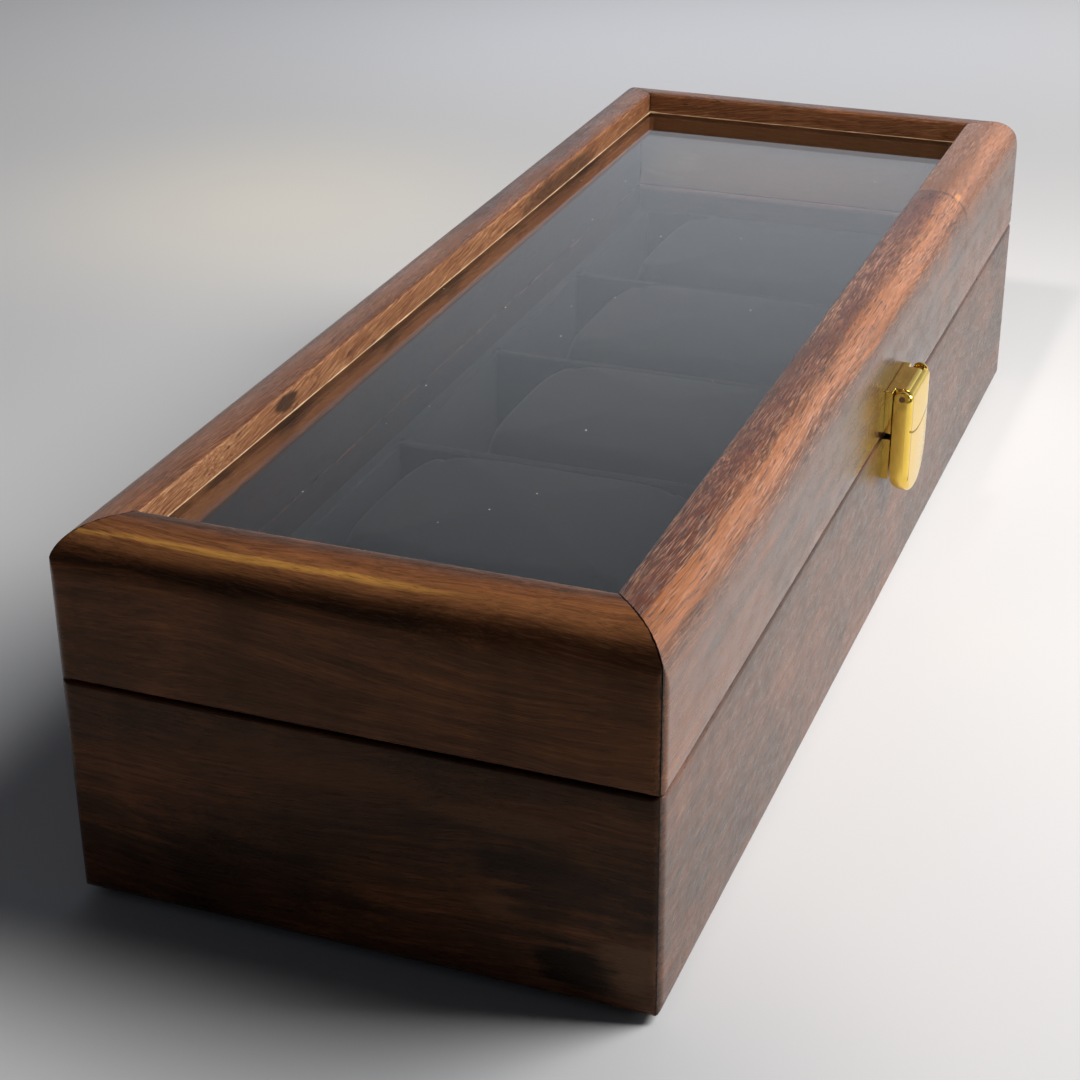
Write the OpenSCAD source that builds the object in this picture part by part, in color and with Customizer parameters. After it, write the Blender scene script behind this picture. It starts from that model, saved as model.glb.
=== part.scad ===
// Glass-topped wooden watch box with five cushioned places.
// Frame: origin at the middle of the underside, X along the length,
// -Y is the front with the latch, Z is up. Millimetres.

/* [Box] */
// Outside length
box_length = 320; // [280:1:360]
// Outside depth, front to back
box_depth = 118; // [110:1:130]
// Overall height with the lid shut
box_height = 79; // [74:0.5:90]
// Height of the line where the lid meets the base
split_height = 48; // [44:0.5:52]
// Thickness of the side boards
wall = 9; // [8:0.5:11]
// Gap between the lid and the base
seam = 0.5; // [0.3:0.1:0.8]
// Rounding of the upright corners
corner_round = 2.5; // [1.5:0.5:4]

/* [Lid] */
// Width of the top rails round the glass
rail = 13; // [12:0.5:16]
// Radius of the rounded outer top edge
top_round = 9; // [7:0.5:11.5]
// Depth of the glass below the top of the rails
glass_recess = 5.5; // [4:0.5:7]
// Thickness of the glass
glass_thick = 3; // [2:0.5:4]
// Height of the strips that hold the glass
bead_height = 4.5; // [3:0.5:5]
// How far the strips stand out under the glass
bead_ledge = 2; // [0:0.5:2]

/* [Base] */
// Thickness of the bottom panel
panel_thick = 4; // [3:0.5:5]
// Thickness of the felt under the box
felt_thick = 1; // [0.6:0.2:1.6]
// Rounding of the lower outer edge
bottom_round = 2.5; // [1.5:0.5:3]

/* [Lining] */
// Thickness of the velvet-covered side linings
lining_thick = 3; // [2.5:0.5:4]
// Thickness of the floor lining
floor_thick = 1.5; // [1:0.5:2]
// Height of the top of the linings and dividers
lining_top = 41; // [36:0.5:43]
// Thickness of a divider
divider_thick = 3; // [2.5:0.5:3]

/* [Cushions] */
// Length of a cushion, front to back
cushion_length = 72; // [68:1:74]
// Height of the top of a cushion
cushion_top = 46.5; // [44:0.5:48]
// Side clearance of a cushion in its place
cushion_clear = 0.7; // [0.5:0.1:1.5]
// Offset of the second cushion towards the back
offset_2 = 5.5; // [-5.5:0.5:5.5]
// Offset of the third cushion towards the back
offset_3 = -4; // [-5.5:0.5:5.5]
// Offset of the fourth cushion towards the back
offset_4 = -1.5; // [-5.5:0.5:5.5]

/* [Latch] */
// Distance of the latch from the middle of the front
latch_offset = 9.7; // [0:0.1:20]
// Width of the hanging leaf
latch_width = 19.5; // [16:0.5:24]

/* [Hinges] */
// Distance of each hinge from the middle of the back
hinge_offset = 100; // [80:1:120]
// Width of a hinge
hinge_width = 26; // [24:1:32]

/* [Hidden] */
$fn = 48;
hx = box_length / 2;
hy = box_depth / 2;
base_top = split_height - seam / 2;
lid_bottom = split_height + seam / 2;
edge_ease = 0.8;
lip_ease = 0.7;
bead_round = 1.6;
rabbet = 4.5;
panel_play = 0.1;
glass_play = 0.2;
felt_inset = 3;
felt_corner = 2;
places = 5;
over = 1;
panel_top = felt_thick + panel_thick;
floor_z = panel_top + floor_thick;
glass_top = box_height - glass_recess;
glass_bottom = glass_top - glass_thick;
bead_bottom = glass_bottom - bead_height;
in_x = hx - wall;
in_y = hy - wall;
slot_x = in_x - lining_thick;
slot_y = in_y - lining_thick;
slot_w = (2 * slot_x - (places - 1) * divider_thick) / places;
pitch = slot_w + divider_thick;
housing = 1.2;
cushion_w = slot_w - 2 * cushion_clear;
cushion_lift = 0.3;
cushion_z = floor_z + cushion_lift;
cushion_h = cushion_top - cushion_z;
cushion_corner = 9;
cushion_end_round = 10;
crown_across = 95;
crown_along = 120;

// hinge: axis behind the back face, at the height of the split
pin_y = hy + 1.9;
knuckle_r = 1.9;
knuckle_half = hinge_width / 2;
middle_half = 4.5;
hinge_pin_r = 0.8;
pin_fit = 0.02;
pin_play = 0.06;
pin_head_r = 1.3;
pin_head_t = 0.6;
leaf_t = 1.1;
leaf_front = hy - 7.5;
leaf_rear = hy - 0.2;
leaf_root = hy - 1;
leaf_gap = 0.15;
recess_h = 5;
knuckle_gap = 0.1;
side_start = middle_half + knuckle_gap;
stop_t = 0.9;
stop_drop = 5.6;
stop_side_h = 5;
stop_middle_h = 3.3;
stop_overlap = 0.2;
heel_half = 4;
heel_start = 1.2;
heel_reach = 3.3;
heel_drop = 0.55;
heel_t = 1.5;
screw_y = hy - 4;
screw_x = 8;
screw_r = 0.8;
screw_head_r = 1.7;
screw_head_h = 0.9;
screw_length = 7;
screw_base_z = split_height - leaf_gap - screw_head_h;
screw_lid_z = split_height + leaf_gap + screw_head_h;
screw_hole_r = 0.85;
screw_hole_depth = 10;

// latch: hangs from a pin in front of the lid
plate_t = 1.7;
plate_half = latch_width / 2 - 0.35;
latch_pin_y = -hy - 3.9;
latch_pin_z = split_height + 9.6;
latch_pin_r = 0.7;
leaf_out = -hy - 6.3;
leaf_back = -hy - 2.1;
leaf_foot = -hy - 3.6;
leaf_sheet = 0.9;
leaf_side = 1.1;
leaf_low = split_height - 15.8;
leaf_high = latch_pin_z + 1;
leaf_curve = 22;
leaf_corner = 9;
ear_r = 1.8;
arc_r = 21;
arc_line = 0.5;
arc_depth = 0.25;
arc_half = 7.6;
arc_z = split_height + 20.5;
latch_pin_fit = 0.01;
ledge_half = 7;
ledge_z = 0.3;
ledge_t = 1.1;
latch_knuckle_r = 1.4;
upper_plate_low = split_height + 0.7;
lower_plate_high = split_height - 0.7;
lower_plate_low = split_height - 10.5;
ridge_half = 5;
ridge_r = 1.5;
ridge_z = split_height - 7.4;
ridge_low = split_height - 10;
nail_x = 6.2;
nail_r = 0.6;
nail_hole_r = 0.62;
nail_head_r = 1.2;
nail_head_t = 0.5;
nail_depth = 6;
lid_nail_z = split_height + 4;
base_nail_z = split_height - 3.6;

// node to draw

// ---- shared shapes ----

// removes the corner at the origin of a shape lying in +x +y, leaving a round
module corner_cut(r) {
  difference() {
    translate([-over, -over]) square([r + over, r + over]);
    translate([r, r]) circle(r);
  }
}

// rectangle centred on the origin with rounded corners
module round_rect(w, d, r) {
  difference() {
    square([w, d], center = true);
    for (sx = [0, 1])
      for (sy = [0, 1])
        mirror([sx, 0])
          mirror([0, sy])
            translate([-w / 2, -d / 2]) corner_cut(r);
  }
}

module box_plan() {
  round_rect(box_length, box_depth, corner_round);
}

module front_plan(depth) {
  polygon([
    [-hx, -hy], [hx, -hy],
    [hx - depth, -hy + depth], [-hx + depth, -hy + depth]
  ]);
}

module end_plan(depth) {
  polygon([
    [-hx, -hy], [-hx + depth, -hy + depth],
    [-hx + depth, hy - depth], [-hx, hy]
  ]);
}

// runs a section along the front, mitred at both ends
module along_front(depth) {
  intersection() {
    translate([-hx, -hy, 0])
      rotate([90, 0, 90])
        linear_extrude(box_length) children();
    linear_extrude(box_height + over)
      intersection() {
        front_plan(depth);
        box_plan();
      }
  }
}

// runs a section along the left end, mitred at both ends
module along_left(depth) {
  intersection() {
    translate([-hx, hy, 0])
      rotate([90, 0, 0])
        linear_extrude(box_depth) children();
    linear_extrude(box_height + over)
      intersection() {
        end_plan(depth);
        box_plan();
      }
  }
}

// board section: outer face at x = 0, inner face at x = wall
module base_section() {
  difference() {
    translate([0, felt_thick]) square([wall, base_top - felt_thick]);
    translate([0, felt_thick]) corner_cut(bottom_round);
    translate([0, base_top]) mirror([0, 1]) corner_cut(edge_ease);
    translate([wall - rabbet, felt_thick - over]) square([rabbet + over, panel_thick + over]);
  }
}

// lid section: wall, rounded shoulder and the lip over the glass
module lid_section() {
  difference() {
    union() {
      translate([0, lid_bottom]) square([wall, box_height - top_round - lid_bottom]);
      intersection() {
        translate([top_round, box_height - top_round]) circle(top_round);
        translate([0, box_height - top_round]) square([top_round, top_round]);
      }
      translate([top_round, box_height - top_round]) square([rail - top_round, top_round]);
    }
    translate([wall, lid_bottom - over]) square([rail, glass_top - lid_bottom + over]);
    translate([0, lid_bottom]) corner_cut(edge_ease);
    translate([rail, box_height]) mirror([1, 0]) mirror([0, 1]) corner_cut(lip_ease);
  }
}

// strip under the glass, standing out past the rail
module bead_section() {
  difference() {
    translate([wall, bead_bottom]) square([rail + bead_ledge - wall, bead_height]);
    translate([rail + bead_ledge, bead_bottom]) mirror([1, 0]) corner_cut(bead_round);
  }
}

// ---- base ----

module nail_hole(z) {
  for (s = [-1, 1])
    translate([latch_offset + s * nail_x, -hy - plate_t - over, z])
      rotate([-90, 0, 0]) cylinder(h = plate_t + over + nail_depth + nail_head_t, r = nail_hole_r);
}

module base_front() {
  color([0.32, 0.19, 0.12])
    difference() {
      along_front(wall) base_section();
      nail_hole(base_nail_z);
    }
}

module base_back() {
  color([0.32, 0.19, 0.12])
    difference() {
      mirror([0, 1, 0]) along_front(wall) base_section();
      for (s = [-1, 1]) {
        translate([s * hinge_offset - knuckle_half, leaf_front, split_height - leaf_gap - leaf_t])
          cube([hinge_width, hy - leaf_front + over, recess_h]);
        for (t = [-1, 1])
          translate([s * hinge_offset + t * screw_x, screw_y, base_top - screw_hole_depth])
            cylinder(h = screw_hole_depth + over, r = screw_hole_r);
      }
    }
}

module base_end_left() {
  color([0.3, 0.18, 0.11]) along_left(wall) base_section();
}

module base_end_right() {
  color([0.3, 0.18, 0.11]) mirror([1, 0, 0]) along_left(wall) base_section();
}

module bottom_panel() {
  color([0.5, 0.38, 0.26])
    translate([-in_x - rabbet + panel_play, -in_y - rabbet + panel_play, felt_thick])
      cube([
        2 * (in_x + rabbet - panel_play), 2 * (in_y + rabbet - panel_play), panel_thick
      ]);
}

module bottom_felt() {
  color([0.05, 0.05, 0.05])
    linear_extrude(felt_thick)
      round_rect(box_length - 2 * felt_inset, box_depth - 2 * felt_inset, felt_corner);
}

// ---- lining ----

module lining_floor() {
  color([0.04, 0.04, 0.04])
    translate([-in_x, -in_y, panel_top]) cube([2 * in_x, 2 * in_y, floor_thick]);
}

module lining_front() {
  color([0.04, 0.04, 0.04])
    difference() {
      translate([-in_x, -in_y, floor_z])
        cube([2 * in_x, lining_thick, lining_top - floor_z]);
      for (i = [1 : places - 1])
        translate([-slot_x + i * pitch - divider_thick, -slot_y - housing, floor_z - over])
          cube([divider_thick, housing + over, lining_top]);
    }
}

module lining_back() {
  color([0.04, 0.04, 0.04]) mirror([0, 1, 0]) lining_front();
}

module lining_left() {
  color([0.04, 0.04, 0.04])
    translate([-in_x, -slot_y, floor_z])
      cube([lining_thick, 2 * slot_y, lining_top - floor_z]);
}

module lining_right() {
  color([0.04, 0.04, 0.04]) mirror([1, 0, 0]) lining_left();
}

module divider(i) {
  color([0.05, 0.05, 0.05])
    translate([-slot_x + i * pitch - divider_thick, 0, 0])
      rotate([90, 0, 90])
        linear_extrude(divider_thick)
          translate([-slot_y - housing, floor_z])
            square([2 * (slot_y + housing), lining_top - floor_z]);
}

// ---- lid ----

module lid_front() {
  color([0.36, 0.21, 0.13])
    difference() {
      along_front(rail) lid_section();
      nail_hole(lid_nail_z);
    }
}

module lid_back() {
  color([0.36, 0.21, 0.13])
    difference() {
      mirror([0, 1, 0]) along_front(rail) lid_section();
      for (s = [-1, 1]) {
        translate([s * hinge_offset - knuckle_half, leaf_front, split_height + leaf_gap + leaf_t - recess_h])
          cube([hinge_width, hy - leaf_front + over, recess_h]);
        for (t = [-1, 1])
          translate([s * hinge_offset + t * screw_x, screw_y, lid_bottom - over])
            cylinder(h = screw_hole_depth + over, r = screw_hole_r);
      }
    }
}

module lid_end_left() {
  color([0.36, 0.21, 0.13]) along_left(rail) lid_section();
}

module lid_end_right() {
  color([0.36, 0.21, 0.13]) mirror([1, 0, 0]) along_left(rail) lid_section();
}

module glass_pane() {
  color([0.75, 0.82, 0.84, 0.35])
    translate([-in_x + glass_play, -in_y + glass_play, glass_bottom])
      cube([2 * (in_x - glass_play), 2 * (in_y - glass_play), glass_thick]);
}

module glass_bead_front() {
  color([0.3, 0.18, 0.11]) along_front(rail + bead_ledge) bead_section();
}

module glass_bead_back() {
  color([0.3, 0.18, 0.11]) mirror([0, 1, 0]) along_front(rail + bead_ledge) bead_section();
}

module glass_bead_left() {
  color([0.3, 0.18, 0.11]) along_left(rail + bead_ledge) bead_section();
}

module glass_bead_right() {
  color([0.3, 0.18, 0.11]) mirror([1, 0, 0]) along_left(rail + bead_ledge) bead_section();
}

// ---- hinges ----

module knuckle(x0, x1, bore) {
  translate([x0, pin_y, split_height])
    rotate([0, 90, 0])
      difference() {
        cylinder(h = x1 - x0, r = knuckle_r);
        translate([0, 0, -over]) cylinder(h = x1 - x0 + 2 * over, r = bore);
      }
}

// bore through the whole barrel
module barrel_bore(bore) {
  translate([-knuckle_half - over, pin_y, split_height])
    rotate([0, 90, 0]) cylinder(h = hinge_width + 2 * over, r = bore);
}

// leaf let into the top of the base, with the stop plate down the back
module hinge_lower_leaf() {
  color([0.8, 0.62, 0.28])
    difference() {
      union() {
        translate([-knuckle_half, leaf_front, split_height - leaf_gap - leaf_t])
          cube([hinge_width, leaf_rear - leaf_front, leaf_t]);
        for (s = [0, 1])
          mirror([s, 0, 0]) {
            translate([side_start, leaf_root, split_height - leaf_gap - leaf_t])
              cube([knuckle_half - side_start, pin_y - leaf_root, leaf_t]);
            knuckle(side_start, knuckle_half, hinge_pin_r + pin_fit);
            translate([side_start, hy, split_height - stop_drop])
              cube([knuckle_half - side_start, stop_t, stop_side_h]);
          }
        translate([-middle_half - stop_overlap, hy, split_height - stop_drop])
          cube([2 * (middle_half + stop_overlap), stop_t, stop_middle_h]);
      }
      barrel_bore(hinge_pin_r + pin_fit);
      for (t = [-1, 1])
        translate([t * screw_x, screw_y, split_height - leaf_gap - leaf_t]) {
          translate([0, 0, -over]) cylinder(h = leaf_t + 2 * over, r = screw_r);
          translate([0, 0, leaf_t - screw_head_h])
            cylinder(h = screw_head_h, r1 = screw_r, r2 = screw_head_r);
        }
    }
}

// leaf let into the underside of the lid, with a heel that stops it open
module hinge_upper_leaf() {
  color([0.8, 0.62, 0.28])
    difference() {
      union() {
        translate([-knuckle_half, leaf_front, split_height + leaf_gap])
          cube([hinge_width, leaf_rear - leaf_front, leaf_t]);
        translate([-middle_half, leaf_root, split_height + leaf_gap])
          cube([2 * middle_half, pin_y - leaf_root, leaf_t]);
        knuckle(-middle_half, middle_half, hinge_pin_r + pin_play);
        translate([-heel_half, pin_y + heel_start, split_height - heel_drop])
          cube([2 * heel_half, heel_reach, heel_t]);
      }
      barrel_bore(hinge_pin_r + pin_play);
      for (t = [-1, 1])
        translate([t * screw_x, screw_y, split_height + leaf_gap]) {
          translate([0, 0, -over]) cylinder(h = leaf_t + 2 * over, r = screw_r);
          cylinder(h = screw_head_h, r1 = screw_head_r, r2 = screw_r);
        }
    }
}

module hinge_pin() {
  color([0.72, 0.55, 0.25])
    translate([0, pin_y, split_height])
      rotate([0, 90, 0]) {
        translate([0, 0, -knuckle_half - pin_head_t])
          cylinder(h = hinge_width + 2 * pin_head_t, r = hinge_pin_r);
        for (z = [-knuckle_half - pin_head_t, knuckle_half])
          translate([0, 0, z]) cylinder(h = pin_head_t, r = pin_head_r);
      }
}

module hinge_lower_leaf_left() {
  translate([-hinge_offset, 0, 0]) hinge_lower_leaf();
}

module hinge_lower_leaf_right() {
  translate([hinge_offset, 0, 0]) hinge_lower_leaf();
}

module hinge_upper_leaf_left() {
  translate([-hinge_offset, 0, 0]) hinge_upper_leaf();
}

module hinge_upper_leaf_right() {
  translate([hinge_offset, 0, 0]) hinge_upper_leaf();
}

module hinge_pin_left() {
  translate([-hinge_offset, 0, 0]) hinge_pin();
}

module hinge_pin_right() {
  translate([hinge_offset, 0, 0]) hinge_pin();
}

// countersunk screw, head up
module hinge_screw() {
  cylinder(h = screw_head_h, r1 = screw_r, r2 = screw_head_r);
  translate([0, 0, -screw_length]) cylinder(h = screw_length, r = screw_r);
}

module hinge_screws_base() {
  color([0.72, 0.55, 0.25])
    for (s = [-1, 1])
      for (t = [-1, 1])
        translate([s * hinge_offset + t * screw_x, screw_y, screw_base_z]) hinge_screw();
}

module hinge_screws_lid() {
  color([0.72, 0.55, 0.25])
    for (s = [-1, 1])
      for (t = [-1, 1])
        translate([s * hinge_offset + t * screw_x, screw_y, screw_lid_z])
          mirror([0, 0, 1]) hinge_screw();
}

// ---- latch ----

// outline of the hanging leaf, drawn as x and z, drawn in by t
module leaf_outline(t) {
  intersection() {
    difference() {
      translate([-latch_width / 2 + t, leaf_low + t])
        square([latch_width - 2 * t, leaf_high - leaf_low - t]);
      for (s = [0, 1])
        mirror([s, 0])
          translate([-latch_width / 2 + t, leaf_low + t]) corner_cut(leaf_corner - t);
    }
    translate([0, leaf_low + leaf_curve]) circle(leaf_curve - t);
  }
}

// stands a drawing of x and z upright, its front at y0 and its back at y1
module upright(y0, y1) {
  translate([latch_offset, y1, 0])
    rotate([90, 0, 0])
      linear_extrude(y1 - y0) children();
}

module latch_leaf() {
  color([0.85, 0.66, 0.26])
    difference() {
      union() {
        difference() {
          upright(leaf_out, leaf_back) leaf_outline(0);
          upright(leaf_out + leaf_sheet, leaf_back + over)
            union() {
              leaf_outline(leaf_side);
              translate([-latch_width / 2 + leaf_side, latch_pin_z - 2 * ear_r])
                square([latch_width - 2 * leaf_side, 4 * ear_r]);
            }
          translate([
            latch_offset - latch_width / 2 - over, leaf_out + leaf_sheet, latch_pin_z
          ])
            cube([latch_width + 2 * over, 4 * ear_r, 4 * ear_r]);
          translate([
            latch_offset - latch_width / 2 + leaf_side, leaf_foot, leaf_low - over
          ])
            cube([
              latch_width - 2 * leaf_side, leaf_back - leaf_foot + over,
              latch_pin_z - leaf_low
            ]);
        }
        for (s = [0, 1])
          translate([latch_offset, 0, 0])
            mirror([s, 0, 0])
              translate([latch_width / 2 - leaf_side, latch_pin_y, latch_pin_z])
                rotate([0, 90, 0]) cylinder(h = leaf_side, r = ear_r);
      }
      translate([latch_offset - latch_width, latch_pin_y, latch_pin_z])
        rotate([0, 90, 0]) cylinder(h = 2 * latch_width, r = latch_pin_r + pin_play);
      upright(leaf_out - over, leaf_out + arc_depth)
        intersection() {
          difference() {
            translate([0, arc_z]) circle(arc_r);
            translate([0, arc_z]) circle(arc_r - arc_line);
          }
          translate([-arc_half, arc_z - arc_r - over]) square([2 * arc_half, arc_half]);
        }
    }
}

module latch_pin() {
  color([0.6, 0.45, 0.2])
    translate([latch_offset - latch_width / 2, latch_pin_y, latch_pin_z])
      rotate([0, 90, 0]) cylinder(h = latch_width, r = latch_pin_r);
}

module plate(z0, z1, zn) {
  difference() {
    translate([latch_offset - plate_half, -hy - plate_t, z0])
      cube([2 * plate_half, plate_t, z1 - z0]);
    nail_hole(zn);
  }
}

// plate on the lid with the rolled knuckle that carries the pin
module latch_upper_plate() {
  color([0.82, 0.63, 0.25])
    difference() {
      union() {
        plate(upper_plate_low, latch_pin_z + latch_knuckle_r, lid_nail_z);
        translate([latch_offset - ledge_half, latch_pin_y, latch_pin_z + ledge_z])
          cube([2 * ledge_half, -hy - plate_t / 2 - latch_pin_y, ledge_t]);
        translate([latch_offset - ledge_half, latch_pin_y, latch_pin_z])
          rotate([0, 90, 0]) cylinder(h = 2 * ledge_half, r = latch_knuckle_r);
      }
      translate([latch_offset - ledge_half - over, latch_pin_y, latch_pin_z])
        rotate([0, 90, 0])
          cylinder(h = 2 * (ledge_half + over), r = latch_pin_r + latch_pin_fit);
    }
}

// plate on the base with the ridge that the leaf springs over
module latch_lower_plate() {
  color([0.82, 0.63, 0.25]) {
    plate(lower_plate_low, lower_plate_high, base_nail_z);
    intersection() {
      translate([latch_offset - ridge_half, -hy - plate_t, ridge_z])
        rotate([0, 90, 0]) cylinder(h = 2 * ridge_half, r = ridge_r);
      translate([latch_offset - ridge_half - over, -hy - plate_t - 2 * ridge_r, ridge_low])
        cube([2 * (ridge_half + over), 2 * ridge_r, 4 * ridge_r]);
    }
  }
}

module nails(z) {
  color([0.7, 0.53, 0.24])
    for (s = [-1, 1])
      translate([latch_offset + s * nail_x, -hy - plate_t - nail_head_t, z])
        rotate([-90, 0, 0]) {
          cylinder(h = nail_head_t, r = nail_head_r);
          cylinder(h = nail_head_t + plate_t + nail_depth, r = nail_r);
        }
}

module latch_nails_base() {
  nails(base_nail_z);
}

module latch_nails_lid() {
  nails(lid_nail_z);
}

// ---- cushions ----

// crowned pillow for the place at x0, pushed towards the back by dy
module cushion(x0, dy) {
  color([0.07, 0.07, 0.07])
    translate([x0, dy, cushion_z])
      intersection() {
        linear_extrude(cushion_h) round_rect(cushion_w, cushion_length, cushion_corner);
        translate([0, cushion_length / 2, cushion_h / 2])
          rotate([90, 0, 0])
            linear_extrude(cushion_length)
              intersection() {
                round_rect(cushion_w, cushion_h, cushion_corner);
                translate([0, cushion_h / 2 - crown_across]) circle(crown_across);
              }
        translate([-cushion_w / 2, 0, cushion_h / 2])
          rotate([90, 0, 90])
            linear_extrude(cushion_w)
              intersection() {
                round_rect(cushion_length, cushion_h, cushion_end_round);
                translate([0, cushion_h / 2 - crown_along]) circle(crown_along);
              }
      }
}

base_front();
base_back();
base_end_left();
base_end_right();
bottom_panel();
bottom_felt();
lining_floor();
lining_front();
lining_back();
lining_left();
lining_right();
divider(1);  // divider_1
divider(2);  // divider_2
divider(3);  // divider_3
divider(4);  // divider_4
lid_front();
lid_back();
lid_end_left();
lid_end_right();
glass_pane();
glass_bead_front();
glass_bead_back();
glass_bead_left();
glass_bead_right();
hinge_lower_leaf_left();
hinge_lower_leaf_right();
hinge_upper_leaf_left();
hinge_upper_leaf_right();
hinge_pin_left();
hinge_pin_right();
hinge_screws_base();
hinge_screws_lid();
latch_lower_plate();
latch_upper_plate();
latch_pin();
latch_leaf();
latch_nails_base();
latch_nails_lid();
cushion(-2 * pitch, 0);  // cushion_1
cushion(-pitch, offset_2);  // cushion_2
cushion(0, offset_3);  // cushion_3
cushion(pitch, offset_4);  // cushion_4
cushion(2 * pitch, 0);  // cushion_5
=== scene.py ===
import math

import bmesh
import bpy
import numpy as np
from mathutils import Matrix, Vector, noise
from mathutils.bvhtree import BVHTree


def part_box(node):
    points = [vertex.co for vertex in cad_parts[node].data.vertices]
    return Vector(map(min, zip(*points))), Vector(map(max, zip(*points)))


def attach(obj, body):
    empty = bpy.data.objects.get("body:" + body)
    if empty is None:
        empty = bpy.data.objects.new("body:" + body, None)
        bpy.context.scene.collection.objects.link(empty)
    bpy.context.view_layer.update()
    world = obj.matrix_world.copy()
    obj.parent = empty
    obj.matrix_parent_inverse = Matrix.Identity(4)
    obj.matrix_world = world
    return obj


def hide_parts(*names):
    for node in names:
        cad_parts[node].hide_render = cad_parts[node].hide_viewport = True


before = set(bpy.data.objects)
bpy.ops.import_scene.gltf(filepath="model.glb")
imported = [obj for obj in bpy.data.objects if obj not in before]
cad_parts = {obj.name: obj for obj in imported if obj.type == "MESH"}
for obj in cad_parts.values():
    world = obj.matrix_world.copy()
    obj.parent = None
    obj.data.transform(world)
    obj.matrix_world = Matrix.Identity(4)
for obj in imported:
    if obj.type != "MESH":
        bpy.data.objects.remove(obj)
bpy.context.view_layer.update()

MM = 0.001

# ---------------------------------------------------------------------------
# Sizes, read from the frame. The box stands on z = 0, X along its length.
HX = -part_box("base_end_left")[0][0]
HY = -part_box("base_front")[0][1]
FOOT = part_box("base_front")[0][2]
BASE_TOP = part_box("base_front")[1][2]
LID_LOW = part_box("lid_front")[0][2]
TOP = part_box("lid_front")[1][2]
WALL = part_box("base_end_left")[1][0] + HX
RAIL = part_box("lid_end_left")[1][0] + HX
GLASS_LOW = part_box("glass_pane")[0][2]
GLASS_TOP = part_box("glass_pane")[1][2]
PANEL_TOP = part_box("bottom_panel")[1][2]

SHOULDER = 11 * MM      # width and height of the lid's rounded outer edge
SQUARENESS = 2.5        # exponent of that edge's curve, 2 for a circle
FOOT_ROUND = 2.5 * MM   # radius of the lower outer edge
CORNER = 2.5 * MM       # radius of the upright corners
EASE = 0.8 * MM         # eased edges at the split
RABBET = 4.5 * MM       # step that holds the bottom panel
STEP = 3 * MM           # mesh spacing along a board
SHARP = 30              # degrees from which an edge stays crisp


# ---------------------------------------------------------------------------
# Mesh helpers
def new_object(name, mesh):
    piece = bpy.data.objects.new(name, mesh)
    bpy.context.scene.collection.objects.link(piece)
    return piece


def object_from_bmesh(name, shape, smooth_angle=SHARP):
    bmesh.ops.recalc_face_normals(shape, faces=shape.faces)
    mesh = bpy.data.meshes.new(name)
    shape.to_mesh(mesh)
    shape.free()
    piece = new_object(name, mesh)
    shade(piece, smooth_angle)
    return piece


def shade(piece, angle):
    """Smooth shading, with edges sharper than the angle kept crisp."""
    mesh = piece.data
    mesh.polygons.foreach_set("use_smooth", [True] * len(mesh.polygons))
    mesh.set_sharp_from_angle(angle=math.radians(angle))


def arc(centre, radius, start, end, count):
    """Points on an arc in the (u, z) plane, angles in degrees."""
    points = []
    for i in range(count + 1):
        a = math.radians(start + (end - start) * i / count)
        points.append((centre[0] + radius * math.cos(a), centre[1] + radius * math.sin(a)))
    return points


def run(a, b, count):
    """Points between a and b, both left out."""
    return [
        (a[0] + (b[0] - a[0]) * i / count, a[1] + (b[1] - a[1]) * i / count)
        for i in range(1, count)
    ]


def path(*parts):
    """Joins arcs and points into one outline, with runs of points on the long stretches."""
    corners = []
    for part in parts:
        corners.extend(part if isinstance(part, list) else [part])
    outline = []
    for i, p in enumerate(corners):
        q = corners[(i + 1) % len(corners)]
        outline.append(p)
        gap = math.dist(p, q)
        outline.extend(run(p, q, max(1, round(gap / STEP))))
    return outline


# ---------------------------------------------------------------------------
# Boards. A section is drawn in (u, z): u runs inwards from the outer face.
def shoulder_point(t):
    """A point of the lid's rounded edge, t degrees round it from the outer face to the top."""
    a = math.radians(t)
    u = SHOULDER * (1 - max(0.0, math.cos(a)) ** (2 / SQUARENESS))
    return u, TOP - SHOULDER * (1 - math.sin(a) ** (2 / SQUARENESS))


def on_shoulder(angle):
    """The point of the lid's rounded edge where its outward normal is this far above level."""
    ratio = math.tan(math.radians(angle)) ** (1 / (SQUARENESS - 1))
    across = (1 + ratio ** SQUARENESS) ** (-1 / SQUARENESS)
    return SHOULDER * (1 - across), TOP - SHOULDER * (1 - ratio * across)


def lid_section():
    lip = 0.7 * MM
    return path(
        arc((EASE, LID_LOW + EASE), EASE, 270, 180, 4),
        [shoulder_point(t) for t in np.linspace(0, 90, 25)],
        arc((RAIL - lip, TOP - lip), lip, 90, 0, 4),
        (RAIL, GLASS_TOP),
        (WALL, GLASS_TOP),
        arc((WALL - 0.3 * MM, LID_LOW + 0.3 * MM), 0.3 * MM, 0, -90, 2),
    )


def base_section():
    inner = 0.3 * MM
    return path(
        arc((FOOT_ROUND, FOOT + FOOT_ROUND), FOOT_ROUND, 270, 180, 7),
        arc((EASE, BASE_TOP - EASE), EASE, 180, 90, 4),
        arc((WALL - inner, BASE_TOP - inner), inner, 90, 0, 2),
        (WALL, PANEL_TOP),
        (WALL - RABBET, PANEL_TOP),
        (WALL - RABBET, FOOT),
    )


SIDES = {
    "front": (HX, lambda s, u: (s, -HY + u)),
    "back": (HX, lambda s, u: (-s, HY - u)),
    "left": (HY, lambda s, u: (-HX + u, -s)),
    "right": (HY, lambda s, u: (HX - u, s)),
}


def corner_inset(d):
    """How far the rounded upright corner lies inside the outer face, at d from the end."""
    if d >= CORNER:
        return 0.0
    return CORNER - math.sqrt(CORNER ** 2 - (CORNER - d) ** 2)


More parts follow.
